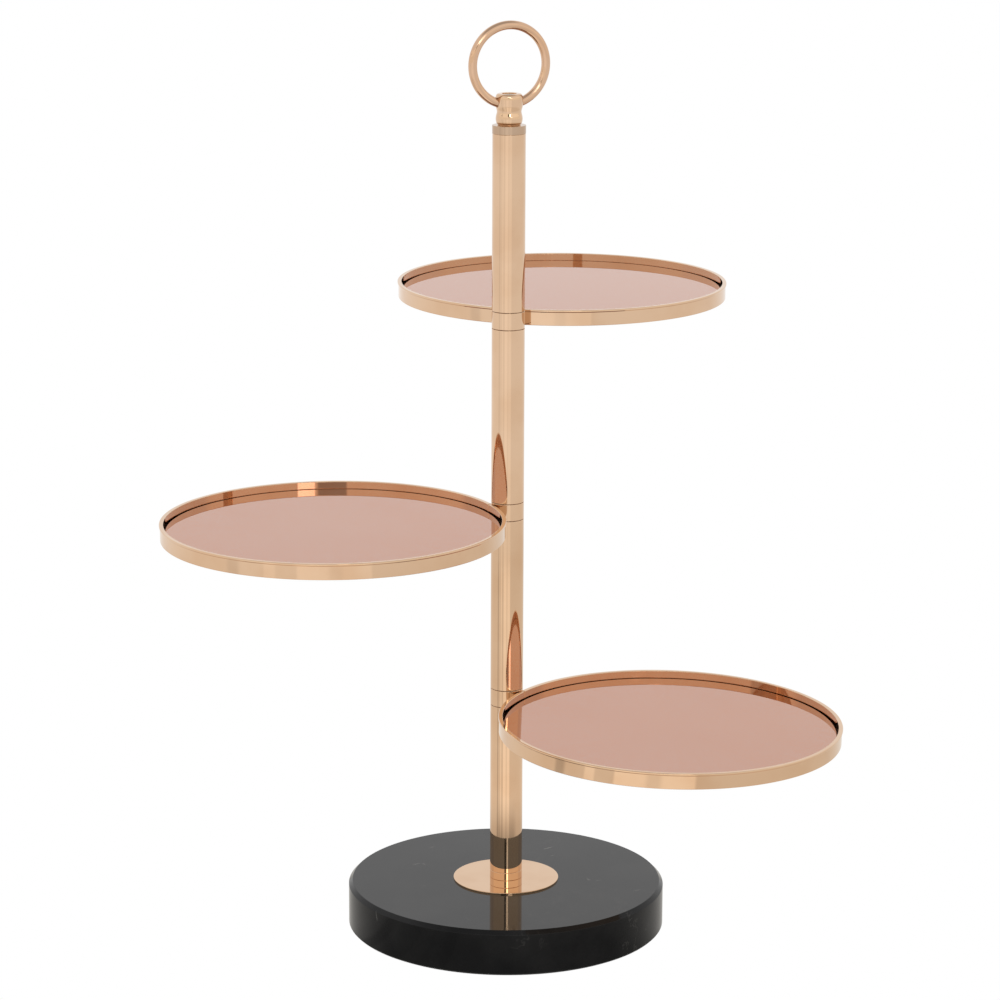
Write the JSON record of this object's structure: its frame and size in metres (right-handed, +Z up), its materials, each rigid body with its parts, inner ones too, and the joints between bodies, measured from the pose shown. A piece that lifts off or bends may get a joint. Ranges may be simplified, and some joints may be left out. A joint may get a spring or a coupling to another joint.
{
  "type": "tiered cake stand",
  "caption": "Tiered stand whose round mirror trays swivel about one slim rose-gold column on a black stone base, with a ring handle on top.",
  "frame": {"origin": "centre of the base pad's underside, on the column's axis, at table level", "axes": "+Z up the column; +X to the right and +Y away when the stand is seen with its middle tray left and its lower tray right"},
  "size_m": [0.3956, 0.3599, 0.5426],
  "materials": {
    "rose_gold": "mirror-polished rose-gold plating on steel",
    "black_marble": "polished",
    "tinted_mirror": "rose-tinted mirror glass",
    "black_tape": "matt foam tape",
    "felt": "pressed felt",
    "plain_steel": "zinc-plated",
    "dark_steel": "blackened",
    "bush_brass": "turned",
    "dark_nylon": "matt"
  },
  "bodies": {
    "stand": {"base_pad": "felt", "marble_base": "black_marble", "base_washer": "plain_steel", "base_lock_washer": "plain_steel", "base_nut": "plain_steel", "tie_rod": "plain_steel", "flange_plate": "rose_gold", "base_ring": "rose_gold", "lower_tube": "rose_gold", "second_tube": "rose_gold", "third_tube": "rose_gold", "top_tube": "rose_gold", "lower_tube_plugs": "plain_steel", "second_tube_plugs": "plain_steel", "third_tube_plugs": "plain_steel", "top_tube_plugs": "plain_steel", "lower_swivel_bush": "bush_brass", "middle_swivel_bush": "bush_brass", "top_swivel_bush": "bush_brass", "lower_slip_washers": "dark_nylon", "middle_slip_washers": "dark_nylon", "top_slip_washers": "dark_nylon", "top_cap_ring": "rose_gold", "finial_knob": "rose_gold", "ring_grub_screw": "dark_steel", "ring_handle": "rose_gold"},
    "lower_tray": {"lower_collar": "rose_gold", "lower_tray_rim": "rose_gold", "lower_tray_pan": "rose_gold", "lower_mirror_tape": "black_tape", "lower_mirror_glass": "tinted_mirror"},
    "middle_tray": {"middle_collar": "rose_gold", "middle_tray_rim": "rose_gold", "middle_tray_pan": "rose_gold", "middle_mirror_tape": "black_tape", "middle_mirror_glass": "tinted_mirror"},
    "top_tray": {"top_collar": "rose_gold", "top_tray_rim": "rose_gold", "top_tray_pan": "rose_gold", "top_mirror_tape": "black_tape", "top_mirror_glass": "tinted_mirror"}
  },
  "joints": [
    {"name": "lower_tray_swivel", "type": "hinge", "parent": "stand", "child": "lower_tray", "pos_m": [0, 0, 0.14195], "axis": [0, 0, 1], "continuous": true},
    {"name": "middle_tray_swivel", "type": "hinge", "parent": "stand", "child": "middle_tray", "pos_m": [0, 0, 0.25575], "axis": [0, 0, 1], "continuous": true},
    {"name": "top_tray_swivel", "type": "hinge", "parent": "stand", "child": "top_tray", "pos_m": [0, 0, 0.36955], "axis": [0, 0, 1], "continuous": true}
  ]
}
